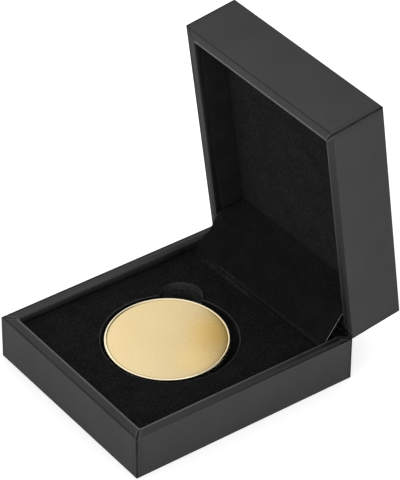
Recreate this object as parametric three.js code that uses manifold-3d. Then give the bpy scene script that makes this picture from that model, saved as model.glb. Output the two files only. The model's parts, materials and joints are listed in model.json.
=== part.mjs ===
import * as THREE from "three";
import { mergeVertices } from "three/addons/utils/BufferGeometryUtils.js";
import Module from "manifold-3d";

const wasm = await Module();
wasm.setup();

// A display case for one coin, in millimetres, standing open.
// X is the width, the front is towards -Y, +Z is up and the underside is at zero.

// Outside of the case and how far the lid stands open from shut, in degrees
const caseWidth = 90;
const caseDepth = 101.3;
const baseHeight = 18.9;
const lidHeight = 23.2;
const openAngle = 82.2;
const closedGap = 0.3;

// Leatherette skin and its folded edges
const wrapThickness = 0.6;
const baseTurnIn = 5;
const lidTurnIn = 2.4;
const turnUnder = 10;

// Card boards under the skin
const baseWallThickness = 3.3;
const lidWallThickness = 3;
const baseBoardThickness = 2;
const lidBoardThickness = 2.4;
const bottomCoverThickness = 0.5;
const bottomCoverInset = 2;

// Gap that pieces of the turned lid keep to each other, and the insert's fit in the base
const seatGap = 0.3;
const insertFit = 0.15;

// Velvet insert, from the rim down, and the channel behind it for the hinge
const insertDrop = 3.1;
const insertThickness = 3.5;
const floorLiningThickness = 0.5;
const baseChannel = 11.65;

// Coin, its recess and the thumb notch on the recess's edge
const coinDiameter = 50;
const coinThickness = 3.2;
const coinRimWidth = 1;
const coinRimHeight = 0.25;
const coinRimSlope = 0.15;
const coinEdge = 0.2;
const recessSlack = 2.4;
const notchRadius = 8.6;
const notchAngle = 135;
const coinShiftX = 0.3;
const coinShiftY = -1.4;

// Velvet in the lid
const padDrop = 12.3;
const lidChannel = 10.1;
const liningThickness = 0.6;
const liningTuck = 3;

// Hinge flap, a thin sheet bent over the hinge
const flapThickness = 0.8;
const flapGap = 0.3;
const flapSideGap = 0.9;
const flapTuck = 9;
const flapLidTuck = 5.5;
const flapCrestForward = 0.35;
const flapCrestUp = 9.9;
const flapBend = 2.6;

// Steel hinge
const hingeLength = 56;
const knuckleRadius = 1.15;
const knuckleGap = 0.3;
const knuckleCount = 5;
const leafThickness = 0.5;
const leafFit = 0.2;
const legGap = 0.15;
const legReach = 10;
const pinRadius = 0.6;
const boreClearance = 0.1;
const grooveClearance = 0.35;
const grooveEnd = 0.5;

// Rivets
const rivetInset = 10;
const rivetReach = 7.4;
const rivetRadius = 0.9;
const rivetHeadRadius = 1.8;
const rivetHeadHeight = 0.6;
const rivetClearance = 0.15;
const rivetGrip = 1.9;
const rivetTipGap = 0.4;

// Every cut runs past the faces that it opens by this much
const overrun = 2;

// Counts of flat facets on round pieces
const arcSegments = 28;
const coinSegments = 112;
const knuckleSegments = 24;
const rivetSegments = 16;
const domeSteps = 4;
const bendSteps = 6;

// Places worked out from the sizes above
const halfWidth = caseWidth / 2;
const halfDepth = caseDepth / 2;
const baseRim = wrapThickness + baseWallThickness + wrapThickness;
const lidRim = wrapThickness + seatGap + lidWallThickness + seatGap + wrapThickness;
const hingeY = halfDepth;
const hingeZ = baseHeight + closedGap / 2;
const rivetSpacing = hingeLength - 2 * rivetInset;
const insertTop = baseHeight - insertDrop;
const insertFloor = insertTop - insertThickness;
const insertHalfWidth = halfWidth - baseRim - insertFit;
const insertFront = -halfDepth + baseRim + insertFit;
const insertRear = halfDepth - baseChannel;
const coinRadius = coinDiameter / 2;
const recessRadius = coinRadius + recessSlack;
const recessCentre = new THREE.Vector2(0, (insertFront + insertRear) / 2);
const lidRimLevel = closedGap / 2;
const lidTopLevel = lidRimLevel + lidHeight;
const padFace = lidRimLevel + padDrop;

const looks = {
  leatherette: { color: 0x444446, roughness: 0.58, metalness: 0 },
  velvet: { color: 0x141415, roughness: 1, metalness: 0 },
  greyboard: { color: 0x8b857a, roughness: 0.95, metalness: 0 },
  foam: { color: 0x26272a, roughness: 0.95, metalness: 0 },
  coverPaper: { color: 0x1f1f21, roughness: 0.8, metalness: 0 },
  steel: { color: 0xb8bbbf, roughness: 0.35, metalness: 1 },
  gold: { color: 0xe6d09a, roughness: 0.25, metalness: 1 },
};

function toRadians(degrees) {
  return THREE.MathUtils.degToRad(degrees);
}

// A closed geometry as a manifold solid that can be joined and cut
function solid(geometry) {
  const bare = geometry.clone();
  bare.deleteAttribute("normal");
  bare.deleteAttribute("uv");
  const merged = mergeVertices(bare);
  const mesh = new wasm.Mesh({
    numProp: 3,
    vertProperties: merged.attributes.position.array,
    triVerts: new Uint32Array(merged.index.array),
  });
  return new wasm.Manifold(mesh);
}

function geometryOf(manifold) {
  const mesh = manifold.getMesh();
  const geometry = new THREE.BufferGeometry();
  geometry.setAttribute("position", new THREE.BufferAttribute(mesh.vertProperties, 3));
  geometry.setIndex(new THREE.BufferAttribute(mesh.triVerts, 1));
  geometry.computeVertexNormals();
  return geometry;
}

// A box given by its two ends along each axis
function block(x, y, z) {
  const box = new THREE.BoxGeometry(Math.abs(x[1] - x[0]), Math.abs(y[1] - y[0]), Math.abs(z[1] - z[0]));
  return box.translate((x[0] + x[1]) / 2, (y[0] + y[1]) / 2, (z[0] + z[1]) / 2);
}

function blockSolid(x, y, z) {
  return solid(block(x, y, z));
}

function bothWays(half) {
  return [-half, half];
}

// A round bar along X, centred on the hinge line
function barAlongX(radius, x) {
  const bar = new THREE.CylinderGeometry(radius, radius, Math.abs(x[1] - x[0]), knuckleSegments);
  return bar.rotateZ(Math.PI / 2).translate((x[0] + x[1]) / 2, 0, 0);
}

// An outline drawn in Y and Z, drawn out along X about the middle
function extrudeAlongX(outline, width) {
  const geometry = new THREE.ExtrudeGeometry(outline, { depth: width, bevelEnabled: false, steps: 1 });
  const turn = new THREE.Matrix4();
  turn.makeBasis(new THREE.Vector3(0, 1, 0), new THREE.Vector3(0, 0, 1), new THREE.Vector3(1, 0, 0));
  return geometry.applyMatrix4(turn).translate(-width / 2, 0, 0);
}

function addMesh(parent, name, geometry, look) {
  const mesh = new THREE.Mesh(geometry, new THREE.MeshStandardMaterial(looks[look]));
  mesh.name = name;
  parent.add(mesh);
  return mesh;
}

// The leatherette around one half of the case: outer skin, rim, and the edge folded in below the rim.
// rim and back are the levels of the open edge and of the closed side; rimWidth is the rim's whole width.
function wrapSkin({ y, rim, back, rimWidth, turnIn }) {
  const inward = Math.sign(back - rim);
  const inset = (range, by) => [range[0] + by, range[1] - by];
  const outer = blockSolid(bothWays(halfWidth), y, [rim, back]);
  const hollow = blockSolid(
    bothWays(halfWidth - wrapThickness),
    inset(y, wrapThickness),
    [rim + inward * wrapThickness, back - inward * wrapThickness],
  );
  const fold = blockSolid(
    bothWays(halfWidth - rimWidth + wrapThickness),
    inset(y, rimWidth - wrapThickness),
    [rim, rim + inward * turnIn],
  );
  const mouth = blockSolid(
    bothWays(halfWidth - rimWidth),
    inset(y, rimWidth),
    [rim - inward * overrun, rim + inward * turnIn],
  );
  return outer.subtract(hollow.subtract(fold)).subtract(mouth);
}

// The four card walls of one half, butted at the corners, front and rear walls full width
function wallRanges({ outerX, y, thickness, z, cornerGap }) {
  const [front, rear] = y;
  const between = [front + thickness + cornerGap, rear - thickness - cornerGap];
  return {
    front: [bothWays(outerX), [front, front + thickness], z],
    rear: [bothWays(outerX), [rear - thickness, rear], z],
    left: [[-outerX, -outerX + thickness], between, z],
    right: [[outerX - thickness, outerX], between, z],
  };
}

// Room for the hinge in a rear wall, about the hinge line: a round groove for the knuckles and a
// rebate across the rim for the leaf. side is -1 in the base and 1 in the lid.
function hingeRoom(side, rimWidth) {
  const span = bothWays(hingeLength / 2 + grooveEnd);
  const groove = solid(barAlongX(knuckleRadius + grooveClearance, span));
  const rebate = blockSolid(
    span,
    [-rimWidth - overrun, 0],
    [-side * closedGap, side * (knuckleRadius + leafFit)],
  );
  return groove.add(rebate);
}

// Holes for the rivets in a rear wall, about the hinge line
function rivetHoles(side, boardFace) {
  const depth = rivetGrip + rivetTipGap;
  const holes = [-1, 1].map((end) => {
    const radius = rivetRadius + rivetClearance;
    const hole = new THREE.CylinderGeometry(radius, radius, depth + overrun, rivetSegments);
    const middle = -boardFace + (depth - overrun) / 2;
    return solid(hole.translate((end * rivetSpacing) / 2, middle, side * rivetReach));
  });
  return holes[0].add(holes[1]);
}

function knuckleSpan(index) {
  const length = (hingeLength - (knuckleCount - 1) * knuckleGap) / knuckleCount;
  const start = -hingeLength / 2 + index * (length + knuckleGap);
  return [start, start + length];
}

// One hinge leaf, about the hinge line: knuckles, a plate across the rim and a leg down the wall's
// inner face. The base's leaf has the even knuckles and the lid's the odd ones.
function leafSolid(side, rimWidth) {
  const legFace = -(rimWidth + legGap + leafThickness);
  const plate = blockSolid(
    bothWays(hingeLength / 2),
    [legFace, 0],
    [side * (knuckleRadius - leafThickness), side * knuckleRadius],
  );
  const leg = blockSolid(
    bothWays(hingeLength / 2),
    [legFace, legFace + leafThickness],
    [side * (knuckleRadius - leafThickness), side * legReach],
  );
  let leaf = plate.add(leg);
  const others = [];
  for (let index = 0; index < knuckleCount; index += 1) {
    const own = index % 2 === (side < 0 ? 0 : 1);
    const span = knuckleSpan(index);
    if (own) {
      leaf = leaf.add(solid(barAlongX(knuckleRadius, span)));
    } else {
      others.push([span[0] - knuckleGap, span[1] + knuckleGap]);
    }
  }
  const reach = knuckleRadius + leafFit;
  others.forEach((span) => {
    leaf = leaf.subtract(blockSolid(span, [-reach, overrun], bothWays(reach)));
  });
  const bore = barAlongX(pinRadius + boreClearance, bothWays(hingeLength / 2 + overrun));
  leaf = leaf.subtract(solid(bore));
  [-1, 1].forEach((end) => {
    const radius = rivetRadius + rivetClearance;
    const hole = new THREE.CylinderGeometry(radius, radius, leafThickness + overrun, rivetSegments);
    const place = [(end * rivetSpacing) / 2, legFace + leafThickness / 2, side * rivetReach];
    leaf = leaf.subtract(solid(hole.translate(...place)));
  });
  return leaf;
}

// A rivet along Y, its domed head against the leg and its shank in the wall
function rivetGeometry(side, end, rimWidth, boardFace) {
  const legFace = -(rimWidth + legGap + leafThickness);
  const headBase = legFace - rivetClearance;
  const points = [];
  for (let step = 0; step <= domeSteps; step += 1) {
    const angle = (step / domeSteps) * (Math.PI / 2);
    const radius = rivetHeadRadius * Math.sin(angle);
    points.push(new THREE.Vector2(radius, headBase - rivetHeadHeight * Math.cos(angle)));
  }
  points.push(new THREE.Vector2(rivetRadius, headBase));
  points.push(new THREE.Vector2(rivetRadius, -boardFace + rivetGrip));
  points.push(new THREE.Vector2(0, -boardFace + rivetGrip));
  const rivet = new THREE.LatheGeometry(points, rivetSegments);
  return rivet.translate((end * rivetSpacing) / 2, 0, side * rivetReach);
}

// The opening of the insert: the recess's circle run together with the notch's
function recessOutline() {
  const middle = toRadians(notchAngle);
  const spread = 2 * Math.asin(notchRadius / (2 * recessRadius));
  const notch = recessCentre.clone();
  notch.add(new THREE.Vector2(Math.cos(middle), Math.sin(middle)).multiplyScalar(recessRadius));
  const quarter = Math.PI / 2 + spread / 2;
  const outline = new THREE.Path();
  outline.absarc(recessCentre.x, recessCentre.y, recessRadius, middle + spread, middle - spread + 2 * Math.PI);
  outline.absarc(notch.x, notch.y, notchRadius, middle - quarter, middle + quarter);
  return outline;
}

function insertGeometry() {
  const outline = new THREE.Shape();
  outline.moveTo(-insertHalfWidth, insertFront);
  outline.lineTo(insertHalfWidth, insertFront);
  outline.lineTo(insertHalfWidth, insertRear);
  outline.lineTo(-insertHalfWidth, insertRear);
  outline.closePath();
  outline.holes.push(recessOutline());
  const settings = { depth: insertThickness, bevelEnabled: false, curveSegments: arcSegments };
  return new THREE.ExtrudeGeometry(outline, settings).translate(0, 0, insertFloor);
}

// A place in the lid, given by its distance from the hinge towards the lid's free edge and its
// depth from the rim's level towards the lid's top, as Y and Z of the open case
function lidPlace(fromHinge, depth) {
  const turn = toRadians(openAngle);
  return new THREE.Vector2(
    hingeY - fromHinge * Math.cos(turn) + depth * Math.sin(turn),
    hingeZ + fromHinge * Math.sin(turn) + depth * Math.cos(turn),
  );
}

// The middle line of the flap: out of the channel behind the insert, up over the hinge, and into
// the channel below the lid's pad, with rounded bends
function flapLine() {
  const half = flapThickness / 2;
  const tuckY = insertRear + flapGap + half;
  const lidLine = lidChannel - flapGap - half;
  const corners = [
    new THREE.Vector2(tuckY, insertTop - flapTuck),
    new THREE.Vector2(tuckY, insertTop),
    new THREE.Vector2(hingeY - flapCrestForward + half, hingeZ + flapCrestUp - half),
    lidPlace(lidLine, padFace),
    lidPlace(lidLine, padFace + flapLidTuck),
  ];
  const line = new THREE.Path();
  line.moveTo(corners[0].x, corners[0].y);
  for (let index = 1; index < corners.length - 1; index += 1) {
    const corner = corners[index];
    const before = corners[index - 1].clone().sub(corner).setLength(flapBend).add(corner);
    const after = corners[index + 1].clone().sub(corner).setLength(flapBend).add(corner);
    line.lineTo(before.x, before.y);
    line.quadraticCurveTo(corner.x, corner.y, after.x, after.y);
  }
  const last = corners[corners.length - 1];
  line.lineTo(last.x, last.y);
  return line.getPoints(bendSteps);
}

// A closed outline with the line in its middle
function ribbonOutline(line, thickness) {
  const sides = [-1, 1].map((side) =>
    line.map((point, index) => {
      const before = line[Math.max(index - 1, 0)];
      const after = line[Math.min(index + 1, line.length - 1)];
      const along = after.clone().sub(before).normalize();
      const across = new THREE.Vector2(-along.y, along.x);
      return point.clone().add(across.multiplyScalar((side * thickness) / 2));
    }),
  );
  return new THREE.Shape([...sides[0], ...sides[1].reverse()]);
}

function coinGeometry() {
  const field = coinThickness - coinRimHeight;
  const rimInner = coinRadius - coinRimWidth;
  const points = [
    new THREE.Vector2(0, 0),
    new THREE.Vector2(coinRadius - coinEdge, 0),
    new THREE.Vector2(coinRadius, coinEdge),
    new THREE.Vector2(coinRadius, coinThickness - coinEdge),
    new THREE.Vector2(coinRadius - coinEdge, coinThickness),
    new THREE.Vector2(rimInner, coinThickness),
    new THREE.Vector2(rimInner - coinRimSlope, field),
    new THREE.Vector2(0, field),
  ];
  return new THREE.LatheGeometry(points, coinSegments).rotateX(Math.PI / 2);
}

// Base shell: card tray, its skin and the cover under it
function buildBaseShell(parent) {
  const wrapBottom = bottomCoverThickness;
  const boardBottom = wrapBottom + wrapThickness;
  const outerX = halfWidth - wrapThickness;
  const outerY = halfDepth - wrapThickness;
  const walls = wallRanges({
    outerX,
    y: bothWays(outerY),
    thickness: baseWallThickness,
    z: [boardBottom, baseHeight - wrapThickness],
    cornerGap: 0,
  });
  addMesh(parent, "base_front_wall", block(...walls.front), "greyboard");
  addMesh(parent, "base_left_wall", block(...walls.left), "greyboard");
  addMesh(parent, "base_right_wall", block(...walls.right), "greyboard");

  const boardFace = wrapThickness + baseWallThickness;
  const room = hingeRoom(-1, baseRim).translate([0, hingeY, hingeZ]);
  const holes = rivetHoles(-1, boardFace).translate([0, hingeY, hingeZ]);
  const rearWall = blockSolid(...walls.rear).subtract(room).subtract(holes);
  addMesh(parent, "base_rear_wall", geometryOf(rearWall), "greyboard");

  const innerX = outerX - baseWallThickness;
  const innerY = outerY - baseWallThickness;
  const boardLevels = [boardBottom, boardBottom + baseBoardThickness];
  addMesh(parent, "base_board", block(bothWays(innerX), bothWays(innerY), boardLevels), "greyboard");

  const skin = wrapSkin({
    y: bothWays(halfDepth),
    rim: baseHeight,
    back: wrapBottom,
    rimWidth: baseRim,
    turnIn: baseTurnIn,
  });
  const window = blockSolid(
    bothWays(halfWidth - turnUnder),
    bothWays(halfDepth - turnUnder),
    [wrapBottom - overrun, wrapBottom + overrun],
  );
  addMesh(parent, "base_wrap", geometryOf(skin.subtract(window).subtract(room)), "leatherette");

  const cover = block(
    bothWays(halfWidth - bottomCoverInset),
    bothWays(halfDepth - bottomCoverInset),
    [0, bottomCoverThickness],
  );
  addMesh(parent, "base_bottom_cover", cover, "coverPaper");
  return boardLevels[1];
}

// Insert: foam support, velvet floor, and the velvet block with the recess
function buildInsert(parent, supportBottom) {
  const x = bothWays(insertHalfWidth);
  const y = [insertFront, insertRear];
  const liningBottom = insertFloor - floorLiningThickness;
  addMesh(parent, "insert_support", block(x, y, [supportBottom, liningBottom]), "foam");
  addMesh(parent, "insert_floor_lining", block(x, y, [liningBottom, insertFloor]), "velvet");
  addMesh(parent, "insert_block", insertGeometry(), "velvet");
}

function buildCoin(parent) {
  const coin = addMesh(parent, "coin", coinGeometry(), "gold");
  coin.position.set(recessCentre.x + coinShiftX, recessCentre.y + coinShiftY, insertFloor);
}

// What the base carries of the hinge, and the flap over it
function buildHinge(parent) {
  const hinge = new THREE.Group();
  hinge.position.set(0, hingeY, hingeZ);
  parent.add(hinge);
  addMesh(hinge, "hinge_leaf_base", geometryOf(leafSolid(-1, baseRim)), "steel");
  addMesh(hinge, "hinge_pin", barAlongX(pinRadius, bothWays(hingeLength / 2)), "steel");
  const boardFace = wrapThickness + baseWallThickness;
  addMesh(hinge, "base_rivet_left", rivetGeometry(-1, -1, baseRim, boardFace), "steel");
  addMesh(hinge, "base_rivet_right", rivetGeometry(-1, 1, baseRim, boardFace), "steel");

  const flapWidth = caseWidth - 2 * (baseRim + flapSideGap);
  const flap = extrudeAlongX(ribbonOutline(flapLine(), flapThickness), flapWidth);
  addMesh(parent, "hinge_flap", flap, "velvet");
}

// Lid, drawn shut about the hinge line and then turned open
function buildLid(parent) {
  const lid = new THREE.Group();
  lid.position.set(0, hingeY, hingeZ);
  lid.rotation.x = -toRadians(openAngle);
  parent.add(lid);

  const skinGap = wrapThickness + seatGap;
  const outerX = halfWidth - skinGap;
  const boardY = [-caseDepth + skinGap, -skinGap];
  const walls = wallRanges({
    outerX,
    y: boardY,
    thickness: lidWallThickness,
    z: [lidRimLevel + skinGap, lidTopLevel - skinGap],
    cornerGap: seatGap,
  });
  addMesh(lid, "lid_front_wall", block(...walls.front), "greyboard");
  addMesh(lid, "lid_left_wall", block(...walls.left), "greyboard");
  addMesh(lid, "lid_right_wall", block(...walls.right), "greyboard");

  const boardFace = skinGap + lidWallThickness;
  const room = hingeRoom(1, lidRim);
  const rearWall = blockSolid(...walls.rear).subtract(room).subtract(rivetHoles(1, boardFace));
  addMesh(lid, "lid_rear_wall", geometryOf(rearWall), "greyboard");

  const boardInset = lidWallThickness + seatGap;
  const boardTop = lidTopLevel - skinGap;
  const boardBottom = boardTop - lidBoardThickness;
  const board = block(
    bothWays(outerX - boardInset),
    [boardY[0] + boardInset, boardY[1] - boardInset],
    [boardBottom, boardTop],
  );
  addMesh(lid, "lid_board", board, "greyboard");

  const skin = wrapSkin({
    y: [-caseDepth, 0],
    rim: lidRimLevel,
    back: lidTopLevel,
    rimWidth: lidRim,
    turnIn: lidTurnIn,
  });
  addMesh(lid, "lid_wrap", geometryOf(skin.subtract(room)), "leatherette");

  buildLidVelvet(lid, boardBottom);

  addMesh(lid, "hinge_leaf_lid", geometryOf(leafSolid(1, lidRim)), "steel");
  addMesh(lid, "lid_rivet_left", rivetGeometry(1, -1, lidRim, boardFace), "steel");
  addMesh(lid, "lid_rivet_right", rivetGeometry(1, 1, lidRim, boardFace), "steel");
}

// The pad on the lid's board and the strips on its inner walls, about the hinge line
function buildLidVelvet(lid, boardBottom) {
  const innerX = halfWidth - lidRim;
  const innerFront = -caseDepth + lidRim;
  const pad = block(
    bothWays(innerX - seatGap),
    [innerFront + seatGap, -lidChannel],
    [padFace, boardBottom - seatGap],
  );
  addMesh(lid, "lid_pad", pad, "velvet");

  const levels = [lidRimLevel + lidTurnIn + seatGap, padFace + liningTuck];
  const sideY = [innerFront + seatGap, -lidRim - seatGap];
  const left = block([-innerX - liningThickness, -innerX], sideY, levels);
  const right = block([innerX, innerX + liningThickness], sideY, levels);
  const front = block(bothWays(innerX), [innerFront - liningThickness, innerFront], levels);
  addMesh(lid, "lid_lining_left", left, "velvet");
  addMesh(lid, "lid_lining_right", right, "velvet");
  addMesh(lid, "lid_lining_front", front, "velvet");
}

const coinCase = new THREE.Group();
coinCase.name = "coin_display_case";
const supportBottom = buildBaseShell(coinCase);
buildInsert(coinCase, supportBottom);
buildCoin(coinCase);
buildHinge(coinCase);
buildLid(coinCase);

export default coinCase;
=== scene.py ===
import json
import math

import bmesh
import bpy
from mathutils import Matrix, Vector, noise


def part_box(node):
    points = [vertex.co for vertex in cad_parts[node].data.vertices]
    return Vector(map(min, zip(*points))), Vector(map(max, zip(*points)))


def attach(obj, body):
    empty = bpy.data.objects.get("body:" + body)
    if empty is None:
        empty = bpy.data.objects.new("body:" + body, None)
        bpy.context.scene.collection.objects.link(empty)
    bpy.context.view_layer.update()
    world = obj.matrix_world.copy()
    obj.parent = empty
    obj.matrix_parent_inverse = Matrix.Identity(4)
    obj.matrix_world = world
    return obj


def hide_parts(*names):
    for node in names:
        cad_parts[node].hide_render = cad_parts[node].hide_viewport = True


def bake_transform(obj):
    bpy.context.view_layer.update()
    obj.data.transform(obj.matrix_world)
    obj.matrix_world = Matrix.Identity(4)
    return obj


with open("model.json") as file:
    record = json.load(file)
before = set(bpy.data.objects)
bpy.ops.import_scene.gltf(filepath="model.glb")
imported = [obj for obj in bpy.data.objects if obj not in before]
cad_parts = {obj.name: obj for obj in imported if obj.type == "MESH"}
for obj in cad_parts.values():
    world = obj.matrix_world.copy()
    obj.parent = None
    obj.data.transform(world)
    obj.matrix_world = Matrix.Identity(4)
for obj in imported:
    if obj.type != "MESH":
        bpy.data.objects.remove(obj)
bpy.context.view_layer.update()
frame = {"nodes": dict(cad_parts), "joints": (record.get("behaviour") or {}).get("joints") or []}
mm = 0.001
mergeGap = 1e-6
planeGap = 1e-7
sideGap = 1e-5

hingeJoint = next(joint for joint in frame["joints"] if joint["name"] == "lid_hinge")
hingeLine = Vector(hingeJoint["pos_m"])
openAngle = math.radians(hingeJoint["range_deg"][1])
# From the shut lid's place to the open one
lidOpen = Matrix.Translation(hingeLine) @ Matrix.Rotation(-openAngle, 4, "X")

# Camera, fitted to the corners of the case in the photograph
cameraSettings = {
    "azimuth": 53.3121, "elevation": 36.739, "roll": 0.5149, "place": (0.0093032, 0.0489741, 1.184013),
    "lens": 229.08,
}


def placeCamera(settings):
    turn = Matrix.Rotation(math.radians(settings["azimuth"]), 4, "Z")
    tip = Matrix.Rotation(math.radians(90 - settings["elevation"]), 4, "X")
    roll = Matrix.Rotation(math.radians(settings["roll"]), 4, "Z")
    lens = bpy.data.cameras.new("caseCamera")
    lens.lens = settings["lens"]
    camera = bpy.data.objects.new("caseCamera", lens)
    camera.matrix_world = turn @ tip @ roll @ Matrix.Translation(settings["place"])
    bpy.context.scene.collection.objects.link(camera)
    bpy.context.scene.camera = camera


placeCamera(cameraSettings)
print("camera placed")


# Materials

def newMaterial(name, settings):
    material = bpy.data.materials.new(name)
    material.use_nodes = True
    tree = material.node_tree
    shader = tree.nodes["Principled BSDF"]
    for socket, value in settings.items():
        shader.inputs[socket].default_value = value
    return material, tree, shader


def addNode(tree, kind, inputs=None, **options):
    node = tree.nodes.new(kind)
    for option, value in options.items():
        setattr(node, option, value)
    for socket, value in (inputs or {}).items():
        if isinstance(value, bpy.types.NodeSocket):
            tree.links.new(value, node.inputs[socket])
        else:
            node.inputs[socket].default_value = value
    return node


def objectCoordinates(tree):
    return addNode(tree, "ShaderNodeTexCoord").outputs["Object"]


def grain(tree, size, detail=2.0, roughness=0.5, stretch=None):
    place = objectCoordinates(tree)
    if stretch:
        place = addNode(tree, "ShaderNodeMapping", {"Vector": place, "Scale": stretch}).outputs["Vector"]
    inputs = {"Vector": place, "Scale": 1 / size, "Detail": detail, "Roughness": roughness}
    return addNode(tree, "ShaderNodeTexNoise", inputs).outputs["Fac"]


def ramp(tree, factor, target=(0.0, 1.0), span=(0.3, 0.7)):
    # The usual span is that of a noise
    inputs = dict(zip(("From Min", "From Max", "To Min", "To Max"), (*span, *target)), Value=factor)
    return addNode(tree, "ShaderNodeMapRange", inputs).outputs["Result"]


def shaded(tree, noiseSettings, *ranges):
    return ramp(tree, grain(tree, *noiseSettings), *ranges)


def combine(tree, operation, *values):
    return addNode(tree, "ShaderNodeMath", dict(enumerate(values)), operation=operation).outputs[0]


def mixColours(tree, factor, *colours, blend="MIX"):
    inputs = dict(zip((0, 6, 7), (factor, *colours)))
    return addNode(tree, "ShaderNodeMix", inputs, data_type="RGBA", blend_type=blend).outputs[2]


def tinted(tree, colour, shade):
    return mixColours(tree, 1.0, colour, shade, blend="MULTIPLY")


def attribute(tree, name):
    return addNode(tree, "ShaderNodeAttribute", attribute_name=name).outputs["Fac"]


def dress(tree, shader, colour, height, bump, roughness=None):
    distance, strength = bump
    relief = addNode(tree, "ShaderNodeBump", {"Height": height, "Distance": distance, "Strength": strength})
    links = {"Base Color": colour, "Normal": relief.outputs["Normal"], "Roughness": roughness}
    for socket, value in links.items():
        if value:
            tree.links.new(value, shader.inputs[socket])


# A noise is size, detail, roughness and stretch, and some have the values it becomes and its own span

leatheretteLook = {
    "shader": {"Roughness": 0.5, "Specular IOR Level": 0.05, "Sheen Weight": 0.03, "Sheen Roughness": 0.25},
    "dark": (0.0485, 0.0485, 0.0495, 1), "light": (0.055, 0.055, 0.056, 1),
    # painted shade for creases, the hinge and the inside, and a painted highlight for the inner edges
    "paintedShade": (0.004, 0.004, 0.0043, 1), "paintedHighlightColour": (0.19, 0.19, 0.195, 1),
    "cloud": (18 * mm, 3.0),
    "uneven": ((9 * mm, 2.0), (0.7, 1.0), (0.35, 0.65)),
    "streaks": ((2.5 * mm, 3.0), (0.65, 1.0), (0.35, 0.65)),
    "pores": (0.55 * mm, 2.0), "poreShade": (0.92, 1.06),
    "fine": (0.16 * mm, 3.0, 0.6), "roughness": (0.45, 0.55), "bump": (0.008 * mm, 1.0),
}


def leatheretteMaterial(look):
    material, tree, shader = newMaterial("softTouchLeatherette", look["shader"])
    base = mixColours(tree, shaded(tree, look["cloud"]), look["dark"], look["light"])
    pores = grain(tree, *look["pores"])
    # painted light and shade down the walls, painted shade and a painted highlight, from the skin's
    # attributes
    bright = combine(tree, "ADD", attribute(tree, "paintedLightGradient"), ramp(tree, pores, look["poreShade"]))
    patchy = combine(tree, "MULTIPLY", attribute(tree, "paintedShade"), shaded(tree, *look["uneven"]))
    withPaintedShade = mixColours(tree, patchy, tinted(tree, base, bright), look["paintedShade"])
    lightPainted = combine(tree, "MULTIPLY", attribute(tree, "paintedHighlight"), shaded(tree, *look["streaks"]))
    colour = mixColours(tree, lightPainted, withPaintedShade, look["paintedHighlightColour"])
    fine = grain(tree, *look["fine"])
    relief = combine(tree, "ADD", fine, pores)
    dress(tree, shader, colour, relief, look["bump"], ramp(tree, fine, look["roughness"]))
    return material


velvetLooks = {
    # one velvet, painted lighter or darker for each piece as the light falls on it: dark and light pile,
    # the colour of painted light on the pile, and how far the flecks show
    "insertVelvet": ((0.004, 0.004, 0.0042, 1), (0.017, 0.017, 0.0174, 1), (0.07, 0.07, 0.073, 1), 0.22),
    "padVelvet": ((0.0055, 0.0055, 0.0056, 1), (0.03, 0.03, 0.03, 1), (0.05, 0.05, 0.052, 1), 0.1),
    "liningVelvet": ((0.0175, 0.0175, 0.0178, 1), (0.0245, 0.0245, 0.0248, 1), (0.03, 0.03, 0.032, 1), 0.0),
    "flapVelvet": ((0.0072, 0.0072, 0.0074, 1), (0.0135, 0.0135, 0.0138, 1), (0.05, 0.05, 0.052, 1), 0.08),
}
velvetPile = {
    "shader": {
        "Roughness": 1.0, "Specular IOR Level": 0.0,
        "Sheen Weight": 0.06, "Sheen Roughness": 0.35, "Sheen Tint": (0.75, 0.75, 0.78, 1),
    },
    # tufts, fibres, nap and flecks
    "noises": [(0.8 * mm, 3.0, 0.7), (0.35 * mm, 2.0, 0.6), (7 * mm, 3.0, 0.55), (0.9 * mm, 2.0, 0.6)],
    "pileSpan": (0.78, 1.22), "napShade": (0.85, 1.15), "fleckSpan": (0.62, 0.72),
    "ruffleShare": (0.25, 1.0), "ruffleSpan": (0.8, 1.2),
    "bump": (0.12 * mm, 0.8),
}


def outsideCircle(tree, place, centre, radius):
    # How far a point lies outside an upright round hole
    moved = addNode(tree, "ShaderNodeVectorMath", {0: place, 1: centre}, operation="SUBTRACT").outputs[0]
    level = addNode(tree, "ShaderNodeVectorMath", {0: moved, 1: (1, 1, 0)}, operation="MULTIPLY").outputs[0]
    reach = addNode(tree, "ShaderNodeVectorMath", {0: level}, operation="LENGTH").outputs["Value"]
    return combine(tree, "SUBTRACT", reach, radius)


def velvetMaterial(name, look, opening=None):
    dark, light, lifted, fleckShare = look
    material, tree, shader = newMaterial(name, velvetPile["shader"])
    tuft, fibre, nap, fleck = (grain(tree, *settings) for settings in velvetPile["noises"])
    pile = combine(tree, "ADD", tuft, fibre)
    base = mixColours(tree, ramp(tree, pile, span=velvetPile["pileSpan"]), dark, light)
    napped = tinted(tree, base, ramp(tree, nap, velvetPile["napShade"]))
    flecks = ramp(tree, fleck, (0.0, fleckShare), velvetPile["fleckSpan"])
    ruffled = ramp(tree, pile, velvetPile["ruffleShare"], velvetPile["ruffleSpan"])
    # painted light on the pile, in the third colour, broken by the pile
    lightPainted = combine(tree, "MULTIPLY", attribute(tree, "paintedLight"), ruffled)
    if opening:
        # A thin line round the top of the opening: lifted pile with a painted highlight
        place = objectCoordinates(tree)
        gap = outsideCircle(tree, place, recessCentre(), recess["radius"])
        off = combine(tree, "ABSOLUTE", combine(tree, "SUBTRACT", gap, opening["line"]))
        line = ramp(tree, off, (1.0, 0.0), (opening["core"], opening["width"]))
        height = addNode(tree, "ShaderNodeSeparateXYZ", {0: place}).outputs["Z"]
        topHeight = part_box("insert_block")[1].z
        top = ramp(tree, height, span=[topHeight - drop for drop in opening["drops"]])
        broken = combine(tree, "MULTIPLY", combine(tree, "MULTIPLY", line, top), ruffled)
        lightPainted = combine(tree, "MAXIMUM", lightPainted, broken)
    flecksAndPaintedLight = combine(tree, "MAXIMUM", lightPainted, flecks)
    dress(tree, shader, mixColours(tree, flecksAndPaintedLight, napped, lifted), pile, velvetPile["bump"])
    return material


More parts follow.
